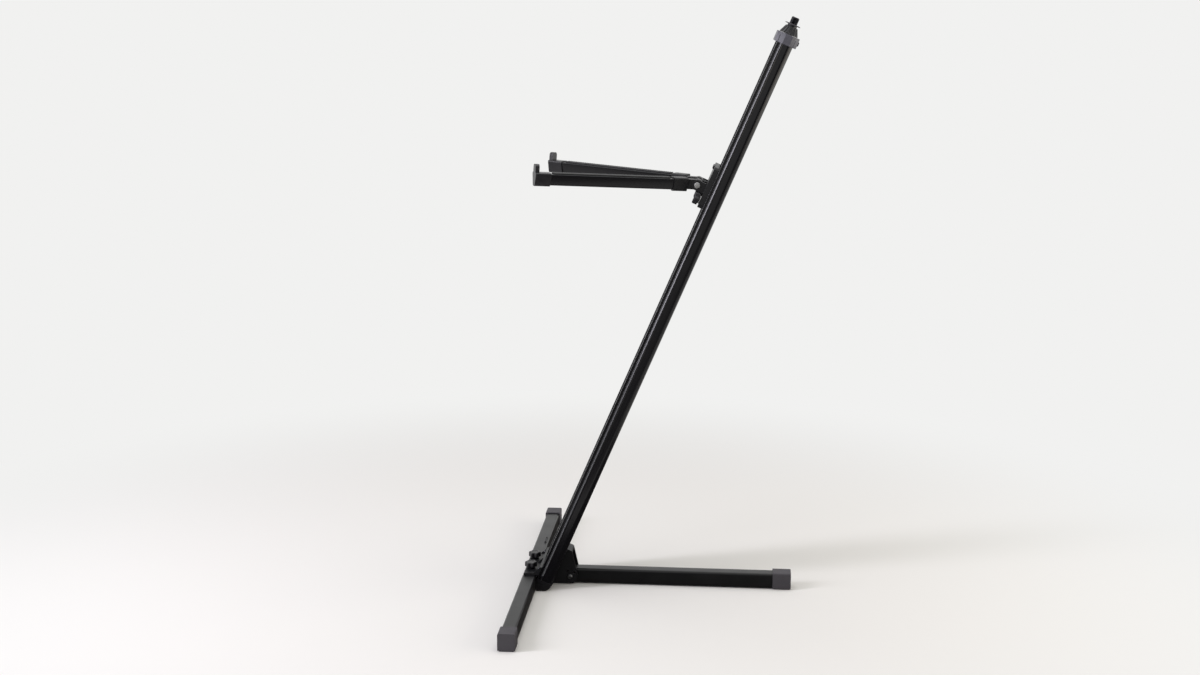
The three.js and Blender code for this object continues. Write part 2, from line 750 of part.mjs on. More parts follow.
function legClamp(name, side) {
  const seat = tubeTopZ - tubeWall - gap;
  const knobSeat = saddleTopZ + 2 * gap + knobWasherThickness;
  const boltTop = knobSeat + knobHubHeight + knobHeadHeight - knobRoof - gap;
  const bolt = bar("z", clampBoltRadius, seat - rooted, boltTop)
    .add(bar("z", clampBoltHexRadius, seat - clampBoltHeadHeight, seat, hexSides));
  const y = side * legPivotY;
  addPiece(object, `front_leg_bolt_${name}`, moved(bolt, frontBarX, y, 0), zincSteel);
  const washer = ring("z", knobWasherRadius, clampBoltRadius + boltClearance,
    saddleTopZ + gap, saddleTopZ + gap + knobWasherThickness);
  addPiece(object, `front_knob_washer_${name}`, moved(washer, frontBarX, y, 0), zincSteel);
  addPiece(object, `front_knob_${name}`, moved(knobSolid(), frontBarX, y, knobSeat), blackPlastic);
}

// ---- rear bracket and rear leg ------------------------------------------------------------

const rearPivotX = columnX(columnDepth + rearPivotOffset, tubeMidZ);
const rearPivot = new THREE.Vector3(rearPivotX, 0, tubeMidZ);

function indexPlace(extraTurn) {
  return [
    rearPivotX + indexRadius * Math.cos(indexAngle + extraTurn),
    tubeMidZ + indexRadius * Math.sin(indexAngle + extraTurn),
  ];
}

function rearBracket() {
  const face = columnDepth + gap;
  const outline = polygon([
    [columnX(face, bracketBottomZ), bracketBottomZ],
    [bracketToeX, bracketBottomZ],
    [bracketRearX - bracketHeelRun, bracketBottomZ + bracketHeelRise],
    [bracketRearX, bracketRearZ],
    columnPoint(columnDepth + bracketTopReach, bracketTopAlong),
    columnPoint(face, bracketTopAlong),
  ]);
  const inside = bracketHalfWidth - bracketPlate;
  const hollow = block(face + bracketPlate, face + 4 * bracketRearX, -inside, inside,
    -bracketRearX, bracketTopAlong - bracketTopFlange);
  let bracket = alongY(outline, -bracketHalfWidth, bracketHalfWidth)
    .subtract(turned(hollow, columnMatrix));
  const through = bracketHalfWidth + past;
  const pivotHole = bar("y", clampBoltRadius + boltClearance, -through, through);
  const indexHole = bar("y", indexHoleRadius, -through, through);
  const bushHole = bar("y", indexBushRadius + gap, -through, 0);
  const [x, z] = indexPlace(0);
  const [foldedX, foldedZ] = indexPlace(foldedAngle);
  bracket = bracket.subtract(moved(pivotHole, rearPivotX, 0, tubeMidZ))
    .subtract(moved(indexHole.add(bushHole), x, 0, z))
    .subtract(moved(indexHole, foldedX, 0, foldedZ));
  for (const along of bracketScrewAlong) {
    for (const side of [-1, 1]) {
      const hole = moved(
        bar("x", screwRadius + boltClearance, columnDepth, face + bracketPlate + past),
        0, (side * bracketScrewSpacing) / 2, along);
      bracket = bracket.subtract(turned(hole, columnMatrix));
    }
  }
  addPiece(object, "rear_bracket", bracket, blackSteel);
}

function indexBush() {
  const outer = bracketHalfWidth + gap;
  const inner = bracketHalfWidth - bracketPlate + gap;
  const bush = bar("y", indexBushRadius, -outer - rooted, -inner)
    .add(bar("y", indexFlangeRadius, -outer - indexFlangeThickness, -outer))
    .subtract(bar("y", indexHoleRadius, -outer - indexFlangeThickness - past, 0));
  const [x, z] = indexPlace(0);
  addPiece(object, "index_bush", moved(bush, x, 0, z), blackPlastic);
}

function bracketScrews() {
  const seat = columnDepth + gap + bracketPlate + gap;
  let number = 1;
  for (const along of bracketScrewAlong) {
    for (const side of [-1, 1]) {
      addPiece(column, `bracket_screw_${number}`,
        screwAlongX(-1, bracketPlate + gap, seat, (side * bracketScrewSpacing) / 2, along),
        zincSteel);
      number += 1;
    }
  }
}

function rearLeg() {
  const leg = new THREE.Group();
  leg.position.copy(rearPivot);
  object.add(leg);
  const end = rearLegEndX - rearPivotX;
  const through = tubeWidth;
  const [indexX, indexZ] = indexPlace(0);
  const tube = tubeAlongX(-rearNose, end - footEndWall - gap)
    .subtract(bar("y", bushRadius + boltClearance, -through, through))
    .subtract(moved(bar("y", indexHoleRadius, -through, through),
      indexX - rearPivotX, 0, indexZ - tubeMidZ));
  addPiece(leg, "rear_leg", tube, blackPaint);
  addPiece(leg, "rear_foot", footAlongX(end), darkRubber);
  const plugSection = roundedRect(tubeWidth - 2 * tubeWall - 2 * gap,
    tubeHeight - 2 * tubeWall - 2 * gap, rearPlugCorner);
  const plugStart = -rearNose + rearPlugInset;
  addPiece(leg, "rear_leg_end_plug",
    alongX(plugSection, plugStart, plugStart + rearPlugLength), blackPlastic);
  const half = tubeWidth / 2;
  addPiece(leg, "rear_pivot_bush",
    ring("y", bushRadius, clampBoltRadius + boltClearance, -half, half), greyPlastic);
  const inside = bracketHalfWidth - bracketPlate;
  const play = (inside - half - legWasherThickness) / 2;
  for (const [name, side] of [["right", -1], ["left", 1]]) {
    const near = side > 0 ? half + play : -half - play - legWasherThickness;
    addPiece(leg, `rear_pivot_washer_${name}`,
      ring("y", legWasherRadius, clampBoltRadius + boltClearance, near, near + legWasherThickness),
      greyPlastic);
  }
}

function rearPivotFasteners() {
  const outer = bracketHalfWidth + gap;
  const shankEnd = outer + knobWasherThickness + knobHubHeight + knobHeadHeight - knobRoof;
  const shank = bar("y", clampBoltRadius, -outer - rooted, shankEnd);
  const dome = turned(revolve([
    [0, 0],
    [pivotHeadRadius, 0],
    [pivotHeadRadius, 0.35 * pivotHeadHeight],
    [0.75 * pivotHeadRadius, 0.8 * pivotHeadHeight],
    [0.4 * pivotHeadRadius, pivotHeadHeight],
    [0, pivotHeadHeight],
  ]).subtract(bar("z", pivotSocketRadius, pivotHeadHeight - pivotSocketDepth,
    pivotHeadHeight + past, hexSides)), new THREE.Matrix4().makeTranslation(0, -outer, 0)
    .multiply(new THREE.Matrix4().makeRotationX(Math.PI / 2)));
  addPiece(object, "rear_pivot_bolt", moved(shank.add(dome), rearPivotX, 0, tubeMidZ), zincSteel);
  const washer = ring("y", knobWasherRadius, clampBoltRadius + boltClearance,
    outer, outer + knobWasherThickness);
  addPiece(object, "rear_knob_washer", moved(washer, rearPivotX, 0, tubeMidZ), zincSteel);
  const knobSeat = outer + knobWasherThickness + gap;
  const turn = new THREE.Matrix4().makeTranslation(rearPivotX, knobSeat, tubeMidZ)
    .multiply(new THREE.Matrix4().makeRotationX(-Math.PI / 2));
  addPiece(object, "rear_knob", turned(knobSolid(), turn), blackPlastic);
}

// ---- carriage and arms --------------------------------------------------------------------

const armPinAlong = carriageAlong - armPinDrop;
const armPin = new THREE.Vector3(-armPinOffset, 0, armPinAlong).applyMatrix4(columnMatrix);
const plateFront = -gap - carriageThickness;
const carriageKnobAlong = carriageAlong - carriageKnobDrop;

function ear(y) {
  const shape = new THREE.Shape();
  shape.moveTo(plateFront + rooted, armPinAlong - earRadius - earFoot);
  shape.lineTo(plateFront + rooted, armPinAlong + earRadius);
  shape.lineTo(-armPinOffset, armPinAlong + earRadius);
  shape.absarc(-armPinOffset, armPinAlong, earRadius, Math.PI / 2, 1.5 * Math.PI, false);
  return alongY(shape, y, y + earThickness);
}

function armCarriage() {
  const plan = roundedRect(2 * carriageHalfWidth, carriageHeight, carriageCorner);
  let carriage = moved(alongX(plan, plateFront, -gap), 0, 0, carriageAlong);
  const top = carriageAlong + carriageHeight / 2;
  const bump = polygon([
    [plateFront + rooted, top - carriageBumpBase],
    [plateFront - carriageBumpHeight, top - carriageBumpBase + carriageBumpSlope],
    [plateFront - carriageBumpHeight, top - carriageBumpSlope],
    [plateFront + rooted, top],
  ]);
  carriage = carriage.add(alongY(bump, -carriageBumpHalfWidth, carriageBumpHalfWidth));
  const inner = armRootY - knuckleHalfWidth - earSideGap - earThickness;
  const outer = armRootY + knuckleHalfWidth + earSideGap;
  for (const y of [inner, outer, -inner - earThickness, -outer - earThickness]) {
    carriage = carriage.add(ear(y));
  }
  carriage = carriage.subtract(moved(
    bar("y", armPinRadius + boltClearance, -carriageHalfWidth, carriageHalfWidth),
    -armPinOffset, 0, armPinAlong));
  for (const side of [-1, 1]) {
    const hole = bar("x", clampBoltRadius + boltClearance, plateFront - past, past);
    carriage = carriage.subtract(
      moved(hole, 0, side * slotY, carriageKnobAlong));
  }
  addPiece(column, "arm_carriage", carriage, blackSteel);
}

function carriageClamp(name, side) {
  const y = side * slotY;
  const boss = block(gap, slotLip + gap + rooted, -slotOpening / 2 + gap, slotOpening / 2 - gap,
    -keyHalfLength, keyHalfLength);
  const studHole = bar("x", clampBoltRadius + boltClearance, -past, slotLip + keyThickness + past);
  const key = slotNutSolid(keyHalfLength, keyThickness, clampBoltRadius, -keyOffset)
    .add(boss)
    .subtract(moved(studHole, 0, 0, -keyOffset));
  addPiece(column, `slot_key_${name}`, moved(key, 0, y, carriageKnobAlong + keyOffset), zincSteel);
}

function carriageKnob(name, side) {
  const y = side * slotY;
  const washerSeatX = plateFront - gap;
  const washer = ring("x", knobWasherRadius, clampBoltRadius + boltClearance,
    washerSeatX - knobWasherThickness, washerSeatX);
  addPiece(column, `carriage_knob_washer_${name}`, moved(washer, 0, y, carriageKnobAlong), zincSteel);
  const seat = washerSeatX - knobWasherThickness - gap;
  const turn = new THREE.Matrix4().makeTranslation(seat, y, carriageKnobAlong)
    .multiply(new THREE.Matrix4().makeRotationY(-Math.PI / 2));
  addPiece(column, `carriage_knob_${name}`, turned(knobSolid(), turn), blackPlastic);
  const stud = bar("x", clampBoltRadius,
    seat - knobHubHeight - knobHeadHeight + knobRoof + gap, slotLip + keyThickness);
  addPiece(column, `carriage_stud_${name}`, moved(stud, 0, y, carriageKnobAlong), zincSteel);
}

// The arm's three-sided section, flat on top, grown outwards by a wall.
function armSection(grow) {
  const corners = [
    [-armTopWidth / 2 - grow, armHeight / 2 + grow],
    [-armBottomWidth / 2 - grow, -armHeight / 2 - grow],
    [armBottomWidth / 2 + grow, -armHeight / 2 - grow],
    [armTopWidth / 2 + grow, armHeight / 2 + grow],
  ];
  const round = Math.max(armRounding + grow, leastRounding);
  const shape = new THREE.Shape();
  corners.forEach((corner, i) => {
    const here = new THREE.Vector2(...corner);
    const before = new THREE.Vector2(...corners[(i + 3) % 4]);
    const after = new THREE.Vector2(...corners[(i + 1) % 4]);
    const start = here.clone().add(before.sub(here).setLength(round));
    const end = here.clone().add(after.sub(here).setLength(round));
    if (i === 0) shape.moveTo(start.x, start.y);
    else shape.lineTo(start.x, start.y);
    shape.quadraticCurveTo(here.x, here.y, end.x, end.y);
  });
  return shape;
}

function arm(name, side) {
  // The knuckle's frame lies at the pin: -X points forwards along the arm's plane.
  const knuckle = new THREE.Group();
  knuckle.position.set(armPin.x, side * armRootY, armPin.z);
  knuckle.rotation.y = armTilt;
  object.add(knuckle);
  const splayed = new THREE.Matrix4().makeRotationZ(-side * armSplay);
  const sleeve = alongX(armSection(armSleeve), -sleeveEnd, -sleeveStart)
    .subtract(alongX(armSection(footClearance), -sleeveEnd - past, -armTubeStart + gap));
  const webHalfWidth = knuckleHalfWidth - armWebInset;
  const neck = block(-sleeveStart - 2 * rooted, 0, -webHalfWidth, webHalfWidth,
    -knuckleRadius + 2 * armWebTop, knuckleRadius - armWebTop);
  const bore = bar("y", armPinRadius + boltClearance, -armTopWidth, armTopWidth);
  const heel = block(0, armPinOffset, -webHalfWidth, webHalfWidth,
    -knuckleRadius, -knuckleRadius / 3);
  const behind = block(plateFront - gap, 3 * armPinOffset,
    -3 * armRootY, 3 * armRootY, 0, 2 * armPinAlong);
  const toKnuckle = new THREE.Matrix4().makeRotationY(-armTilt)
    .multiply(new THREE.Matrix4().makeTranslation(-armPin.x, 0, -armPin.z))
    .multiply(columnMatrix);
  const root = bar("y", knuckleRadius, -knuckleHalfWidth, knuckleHalfWidth)
    .add(neck)
    .add(turned(sleeve, splayed).subtract(bar("y", knuckleRadius, -armTopWidth, armTopWidth)))
    .add(heel.subtract(turned(behind, toKnuckle)))
    .subtract(bore);
  addPiece(knuckle, `arm_root_${name}`, root, blackSteel);

  const tube = alongX(armSection(0), -armTubeEnd, -armTubeStart)
    .subtract(alongX(armSection(-armWall), -armTubeEnd - past, -armTubeStart + past));
  addPiece(knuckle, `arm_${name}`, turned(tube, splayed), blackAnodised);

  const capEnd = -armTubeEnd - gap - armCapEnd;
  const stopPlan = roundedRect(armStopWidth, 2 * armStopHeight, armStopCorner);
  const stop = moved(alongX(stopPlan, capEnd, capEnd + armCapEnd),
    0, 0, armHeight / 2 + padThickness);
  const cap = alongX(armSection(armCapWall + footClearance), capEnd, -armTubeEnd + armCapLength)
    .add(stop.intersect(block(capEnd - past, capEnd + armCapEnd + past, -armTopWidth, armTopWidth,
      0, 3 * armHeight)))
    .subtract(alongX(armSection(footClearance), -armTubeEnd - gap, 0));
  addPiece(knuckle, `arm_cap_${name}`, turned(cap, splayed), blackPlastic);

  const padBottom = armHeight / 2 + gap;
  const pad = moved(alongX(roundedRect(padWidth, padThickness, padCorner), -padEnd, -padStart),
    0, 0, padBottom + padThickness / 2);
  addPiece(knuckle, `arm_pad_${name}`, turned(pad, splayed), darkRubber);
}

function armHingePin(name, side) {
  const inner = armRootY - knuckleHalfWidth - earSideGap - earThickness - gap;
  const outer = armRootY + knuckleHalfWidth + earSideGap + earThickness + gap;
  const pin = bar("y", armPinRadius, inner - rooted, outer + rooted)
    .add(bar("y", armPinHeadRadius, inner - armPinHeadHeight, inner))
    .add(bar("y", armPinHeadRadius, outer, outer + armPinHeadHeight));
  const turn = side > 0 ? new THREE.Matrix4() : new THREE.Matrix4().makeRotationX(Math.PI);
  addPiece(column, `arm_hinge_pin_${name}`,
    moved(turned(pin, turn), -armPinOffset, 0, armPinAlong), zincSteel);
}

columnExtrusion();
bottomCap();
topCollar();
collarScrews();
boomCone();
boomWasher();
boomStud();
frontSaddle();
saddleFasteners();
legBumper();
rearBracket();
indexBush();
bracketScrews();
rearLeg();
rearPivotFasteners();
armCarriage();
for (const [name, side] of [["right", -1], ["left", 1]]) {
  frontLeg(name, side);
  legClamp(name, side);
  carriageClamp(name, side);
  carriageKnob(name, side);
  arm(name, side);
  armHingePin(name, side);
}

export default object;
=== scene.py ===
import json
import math

import bmesh
import bpy
import numpy as np
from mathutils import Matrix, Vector


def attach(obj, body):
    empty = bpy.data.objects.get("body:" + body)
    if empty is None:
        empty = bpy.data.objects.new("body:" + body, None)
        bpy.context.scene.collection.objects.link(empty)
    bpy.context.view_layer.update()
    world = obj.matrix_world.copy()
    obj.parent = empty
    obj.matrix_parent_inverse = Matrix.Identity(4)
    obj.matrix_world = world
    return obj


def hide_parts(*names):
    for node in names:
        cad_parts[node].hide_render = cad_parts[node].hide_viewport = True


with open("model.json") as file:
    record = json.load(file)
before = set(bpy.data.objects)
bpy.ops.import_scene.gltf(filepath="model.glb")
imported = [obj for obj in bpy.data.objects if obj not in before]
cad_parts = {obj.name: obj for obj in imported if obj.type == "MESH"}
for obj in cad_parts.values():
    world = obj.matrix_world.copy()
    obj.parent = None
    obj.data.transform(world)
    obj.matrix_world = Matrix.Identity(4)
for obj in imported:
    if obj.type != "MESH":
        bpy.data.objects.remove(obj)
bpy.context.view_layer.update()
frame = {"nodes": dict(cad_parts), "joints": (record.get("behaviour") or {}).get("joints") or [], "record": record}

mm = 0.001
print("frame loaded:", len(frame["nodes"]), "nodes")


# camera, at the photograph's eye height and angle
cameraSet = {
    "place": (0.39345, -3.12375, 1.14620),
    "lens": 47.815,      # on a 36 mm wide sensor
    "sensor": 36.0,
    "down": 11.364,      # degrees below the horizon
    "left": 5.059,       # degrees turned from +Y towards -X
}


def makeCamera():
    data = bpy.data.cameras.new("camera")
    data.sensor_fit = "HORIZONTAL"
    data.sensor_width = cameraSet["sensor"]
    data.lens = cameraSet["lens"]
    data.clip_end = 200
    camera = bpy.data.objects.new("camera", data)
    camera.location = cameraSet["place"]
    camera.rotation_euler = (
        math.radians(90 - cameraSet["down"]), 0, math.radians(cameraSet["left"]))
    bpy.context.scene.collection.objects.link(camera)
    bpy.context.scene.camera = camera


makeCamera()
print("camera placed")


# colours and nodes
def linear(hexColour):
    # sRGB to linear light: a straight line near black, a power of 2.4 above it
    parts = [int(hexColour[i:i + 2], 16) / 255 for i in (0, 2, 4)]
    return [p / 12.92 if p <= 0.04045 else ((p + 0.055) / 1.055) ** 2.4 for p in parts] + [1.0]


def addNode(tree, kind, values=None, links=None, **settings):
    made = tree.nodes.new(kind)
    for key, value in settings.items():
        setattr(made, key, value)
    for socket, value in (values or {}).items():
        made.inputs[socket].default_value = value
    for socket, source in (links or {}).items():
        tree.links.new(source, made.inputs[socket])
    return made


def newMaterial(name):
    material = bpy.data.materials.new(name)
    material.use_nodes = True
    tree = material.node_tree
    tree.nodes.clear()
    out = addNode(tree, "ShaderNodeOutputMaterial")
    return material, tree, out


# the column's own axes: u from its front face to the rear, v across, t up along it
slide = next(j for j in frame["joints"] if j["name"] == "carriage_slide")
alongColumn = np.array(slide["axis"], float)
alongColumn /= np.linalg.norm(alongColumn)
acrossColumn = np.array([0.0, 1.0, 0.0])
outOfColumn = np.cross(acrossColumn, alongColumn)
columnAxes = np.array([outOfColumn, acrossColumn, alongColumn])
plainAxes = np.eye(3)


def nodeCoords(name):
    mesh = frame["nodes"][name].data
    flat = np.empty(len(mesh.vertices) * 3, np.float32)
    mesh.vertices.foreach_get("co", flat)
    return flat.reshape(-1, 3).astype(float)


def extent(name, axes=plainAxes):
    # a node's lowest and highest places along three axes of its own
    local = nodeCoords(name) @ axes.T
    return local.min(0), local.max(0)


def longAxis(name):
    # the way a slim node runs, by its own spread
    places = nodeCoords(name)
    places -= (places.min(0) + places.max(0)) / 2
    return np.linalg.svd(places, full_matrices=False)[2][0]


# materials
def objectPattern(tree):
    return addNode(tree, "ShaderNodeTexCoord").outputs["Object"]


def drawnOut(tree, axis, stretch):
    # a pattern stretched along an axis: turned first so that the axis is Z, then squeezed there
    turn = Vector(axis).rotation_difference(Vector((0, 0, 1))).to_euler()
    turned = addNode(tree, "ShaderNodeMapping", {"Rotation": turn},
                     {"Vector": objectPattern(tree)})
    return addNode(tree, "ShaderNodeMapping", {"Scale": (1, 1, 1 / stretch)},
                   {"Vector": turned.outputs["Vector"]}).outputs["Vector"]


def spread(tree, source, low, high):
    # takes the middle half of a 0 to 1 pattern, where noise lies, to a range
    return addNode(tree, "ShaderNodeMapRange", {"From Min": 0.25, "From Max": 0.75,
                   "To Min": low, "To Max": high}, {"Value": source}).outputs["Result"]


def twoTone(tree, factor, first, second):
    return addNode(tree, "ShaderNodeMix", {6: linear(first), 7: linear(second)},
                   {0: factor}, data_type="RGBA").outputs[2]


def noise(tree, vector, sizeMm, detail=2.0):
    # features of about a size in millimetres
    return addNode(tree, "ShaderNodeTexNoise", {"Scale": 1000 / sizeMm, "Detail": detail},
                   {"Vector": vector}).outputs[0]


def surface(name, dark, light, tint, rough, height=None, bumpMm=0.1, strength=0.1, **sockets):
    # a principled surface: two tones of one colour, a roughness range and a fine relief, each
    # driven by a pattern that the caller gives as a function of the node tree
    material, tree, out = newMaterial(name)
    tone = tint(tree)
    links = {"Base Color": twoTone(tree, tone, dark, light),
             "Roughness": spread(tree, tone, *rough)}
    if height:
        relief = addNode(tree, "ShaderNodeBump", {"Strength": strength, "Distance": bumpMm * mm},
                         {"Height": height(tree)})
        links["Normal"] = relief.outputs["Normal"]
    shader = addNode(tree, "ShaderNodeBsdfPrincipled",
                     {key.replace("_", " "): value for key, value in sockets.items()}, links)
    tree.links.new(shader.outputs[0], out.inputs[0])
    return material


def plain(sizeMm, detail=2.0):
    return lambda tree: noise(tree, objectPattern(tree), sizeMm, detail)


def anodisedAluminium(name, axis):
    # 6063 extrusion dyed black: even and deep, with die lines that draw each highlight out along
    # it; the real lines are about 0.1 mm apart, and are drawn coarser so that they show
    def dieLines(tree):
        return noise(tree, drawnOut(tree, axis, 300), 0.9, 3)
    return surface(name, "08080A", "0E0D11", dieLines, (0.16, 0.26), dieLines, 0.1, 0.05,
                   IOR=1.5, Specular_IOR_Level=0.3)


def tubePaint():
    # steel tube in satin black paint: faint orange peel, soft white reflections at low angles
    return surface("enamel_black_satin", "0D0D0E", "131314", plain(40, 3), (0.27, 0.36),
                   plain(2.4), 0.3, 0.05, IOR=1.5, Specular_IOR_Level=0.3)


def coatedSteel():
    # pressed steel in black powder coat: dull sheen, pebbled at about a millimetre
    return surface("powder_coat_black", "0E0E10", "151517", plain(25, 4), (0.32, 0.44),
                   plain(1.0), 0.3, 0.14, IOR=1.5, Specular_IOR_Level=0.3)


def mouldedPlastic(name, dark, light, rough, grainMm=0.6):
    # injection moulded with a spark-eroded grain: a matt skin that breaks up each highlight
    return surface(name, dark, light, plain(12, 3), (rough - 0.06, rough + 0.06),
                   plain(grainMm), 0.2, 0.22, IOR=1.46)


def mouldedRubber(name, dark, light):
    # compression moulded rubber: almost no gloss, with a dry bloom in the hollows
    return surface(name, dark, light, plain(18, 4), (0.55, 0.7), plain(0.8, 3), 0.2, 0.3,
                   IOR=1.52)


def zincPlate():
    # zinc on steel, clear passivated: a cool mirror blurred by fine plating grain
    return surface("zinc_plated_steel_clear", "8E9096", "A3A19A", plain(6, 3), (0.28, 0.4),
                   plain(0.5), 0.1, 0.12, Metallic=1.0)


def dulledZinc():
    # the same plating gone grey in use: lower and softer highlights on the one bright bolt head
    return surface("zinc_plated_steel_dulled", "5C5E64", "72716D", plain(6, 3), (0.36, 0.48),
                   plain(0.5), 0.1, 0.12, Metallic=1.0)


def blackZinc():
    # zinc with a black passivated skin: a dark washer that hardly shows under its knob
    return surface("zinc_plated_steel_black", "1B1B1E", "28282A", plain(6, 3), (0.36, 0.48),
                   plain(0.5), 0.1, 0.1, Metallic=1.0)


def blackOxide():
    # steel blackened in hot salts and oiled: dark metal with a low blue-grey sheen
    return surface("black_oxide_steel_oiled", "2B2B2F", "3A393B", plain(5, 3), (0.3, 0.42),
                   plain(0.7), 0.1, 0.08, Metallic=1.0)


finishes = {
    "black_anodised_aluminium": anodisedAluminium("anodised_aluminium_black", alongColumn),
    "black_satin_tube": tubePaint(),
    "black_coated_steel": coatedSteel(),
    "black_moulded_plastic": mouldedPlastic("nylon_moulded_black", "0F0E11", "17161A", 0.34),
    "grey_moulded_plastic": mouldedPlastic("abs_moulded_grey", "424148", "4A4951", 0.42),
    "nylon": mouldedPlastic("nylon_natural_turned", "B3B2AA", "C2C1B8", 0.45),
    "foot_rubber": mouldedRubber("rubber_moulded_dark_grey", "322F34", "3C393E"),
    "pad_rubber": mouldedRubber("rubber_extruded_black", "1B1B1C", "242425"),
    "zinc_steel": zincPlate(),
    "black_oxide_steel": blackOxide(),
}
print("finishes made:", len(finishes))

bodyOf = {n: body for body, members in frame["record"]["behaviour"]["bodies"].items()
          for n in members}


def slotOf(name):
    # an imported node's material is named for its slot
    return frame["nodes"][name].data.materials[0].name.split(".")[0]


# floor, sky and lamps
stageSet = {
    "floor": "E9E7E3",
    "sky": "F1F1F0",
    "fillLight": 0.42,     # the sky's strength as a light; what is seen of it has a strength of 1
    "clearRadius": 0.55,   # metres, inside which the floor is lit as a plain surface
    "fadeRadius": 1.7,     # metres, past which it has the sky's own tone
    "side": 60,
}


def makeFloor():
    side = stageSet["side"]
    mesh = bpy.data.meshes.new("floor")
    mesh.from_pydata([(-side, -side, 0), (side, -side, 0), (side, side, 0), (-side, side, 0)],
                     [], [(0, 1, 2, 3)])
    floor = bpy.data.objects.new("floor", mesh)
    bpy.context.scene.collection.objects.link(floor)
    material, tree, out = newMaterial("studio_floor_paper")
    reach = addNode(tree, "ShaderNodeVectorMath", links={0: objectPattern(tree)},
                    operation="LENGTH")
    fade = addNode(tree, "ShaderNodeMapRange", {"From Min": stageSet["clearRadius"],
                   "From Max": stageSet["fadeRadius"]}, {"Value": reach.outputs["Value"]},
                   interpolation_type="SMOOTHSTEP")
    paper = addNode(tree, "ShaderNodeBsdfDiffuse", {"Color": linear(stageSet["floor"])})
    far = addNode(tree, "ShaderNodeEmission", {"Color": linear(stageSet["sky"]), "Strength": 1.0})
    both = addNode(tree, "ShaderNodeMixShader",
                   links={0: fade.outputs["Result"], 1: paper.outputs[0], 2: far.outputs[0]})
    tree.links.new(both.outputs[0], out.inputs[0])
    mesh.materials.append(material)


def makeSky():
    world = bpy.data.worlds.new("studio")
    bpy.context.scene.world = world
    world.use_nodes = True
    tree = world.node_tree
    tree.nodes.clear()
    path = addNode(tree, "ShaderNodeLightPath")
    seen = addNode(tree, "ShaderNodeMath", links={0: path.outputs["Is Camera Ray"],
                   1: path.outputs["Is Glossy Ray"]}, operation="MAXIMUM")
    shown = addNode(tree, "ShaderNodeMath", links={0: seen.outputs[0],
                    1: path.outputs["Is Transmission Ray"]}, operation="MAXIMUM")
    light = addNode(tree, "ShaderNodeBackground",
                    {"Color": linear("FFFFFF"), "Strength": stageSet["fillLight"]})
    backdrop = addNode(tree, "ShaderNodeBackground",
                       {"Color": linear(stageSet["sky"]), "Strength": 1.0})
    both = addNode(tree, "ShaderNodeMixShader",
                   links={0: shown.outputs[0], 1: light.outputs[0], 2: backdrop.outputs[0]})
    out = addNode(tree, "ShaderNodeOutputWorld")
    tree.links.new(both.outputs[0], out.inputs[0])


lamps = {
    # place, aim, width and height in metres, power in watts, colour
    "overhead": ((0.2, 0.1, 3.2), (0.2, 0, 0.3), (2.6, 2.6), 38, "FFFFFF"),
    "stripHigh": ((-2.5, -1.2, 1.9), (0.2, 0, 1.5), (0.45, 1.8), 56, "F6F4FF"),
    "stripLow": ((-2.5, -0.8, 0.55), (0.2, 0, 0.5), (0.45, 0.9), 14, "F6F4FF"),
    "window": ((-2.3, -2.8, 1.25), (0.1, 0, 0.6), (1.2, 2.4), 14, "F6F4FF"),
    "right": ((2.3, -0.3, 0.65), (0.3, 0, 0.7), (2.6, 1.3), 26, "FFF8EC"),
}


def makeLamps():
    for name, (place, aim, size, power, tone) in lamps.items():
        data = bpy.data.lights.new(name, "AREA")
        data.shape = "RECTANGLE"
        data.size, data.size_y = size
        data.energy = power
        data.color = linear(tone)[:3]
        lamp = bpy.data.objects.new(name, data)
        lamp.location = place
        lamp.rotation_euler = (Vector(aim) - Vector(place)).to_track_quat("-Z", "Y").to_euler()
        lamp.visible_camera = False
        bpy.context.scene.collection.objects.link(lamp)


flags = {
    # painted reflections: glowing cards that only reflections see, which paint darker reflections into the lower
    # sides and paint
    # the dark line down the column: three corners, then the tones at the first corner and at the second
    # flagFloor paints a darker floor in front into the reflections, flagBase paints the shade under the stand,
    # flagRight paints the dark line
    "flagFloor": (((-2.5, -0.7, 0.01), (-2.5, -7, 0.01), (3, -0.7, 0.01)), "6A6765", "E9E7E3"),
    "flagBase": (((-0.008, -0.42, 0.003), (0.55, -0.42, 0.003), (-0.008, 0.42, 0.003)),
                 "3C3A38", "5C5A57"),
    "flagRight": (((0.85, -1.8, 0.02), (1.65, -1.8, 0.02), (0.85, -1.8, 1.9)), "0C0C0C", "1C1C1C"),
}


def makeFlags():
    for name, (corners, near, far) in flags.items():
        first, second, third = (Vector(c) for c in corners)
        mesh = bpy.data.meshes.new(name)
        mesh.from_pydata([first, second, second + third - first, third], [], [(0, 1, 2, 3)])
        # each card glows in a painted dark tone that only glossy rays see: a painted reflection, no real matt card
        material, tree, out = newMaterial("painted_reflection_card_" + name)
        along = (second - first).normalized()
        reach = addNode(tree, "ShaderNodeVectorMath", {1: along}, {0: objectPattern(tree)},
                        operation="DOT_PRODUCT")
        fade = addNode(tree, "ShaderNodeMapRange", {"From Min": first @ along,
                       "From Max": second @ along}, {"Value": reach.outputs["Value"]})
        card = addNode(tree, "ShaderNodeEmission", {"Strength": 1.0},
                       {"Color": twoTone(tree, fade.outputs["Result"], near, far)})
        tree.links.new(card.outputs[0], out.inputs[0])
        mesh.materials.append(material)
        flag = bpy.data.objects.new(name, mesh)
        bpy.context.scene.collection.objects.link(flag)
        flag.visible_camera = False
        flag.visible_diffuse = False
        flag.visible_shadow = False


makeFloor()
makeSky()
makeLamps()
makeFlags()
bpy.context.scene.view_settings.view_transform = "Standard"
print("stage lit")


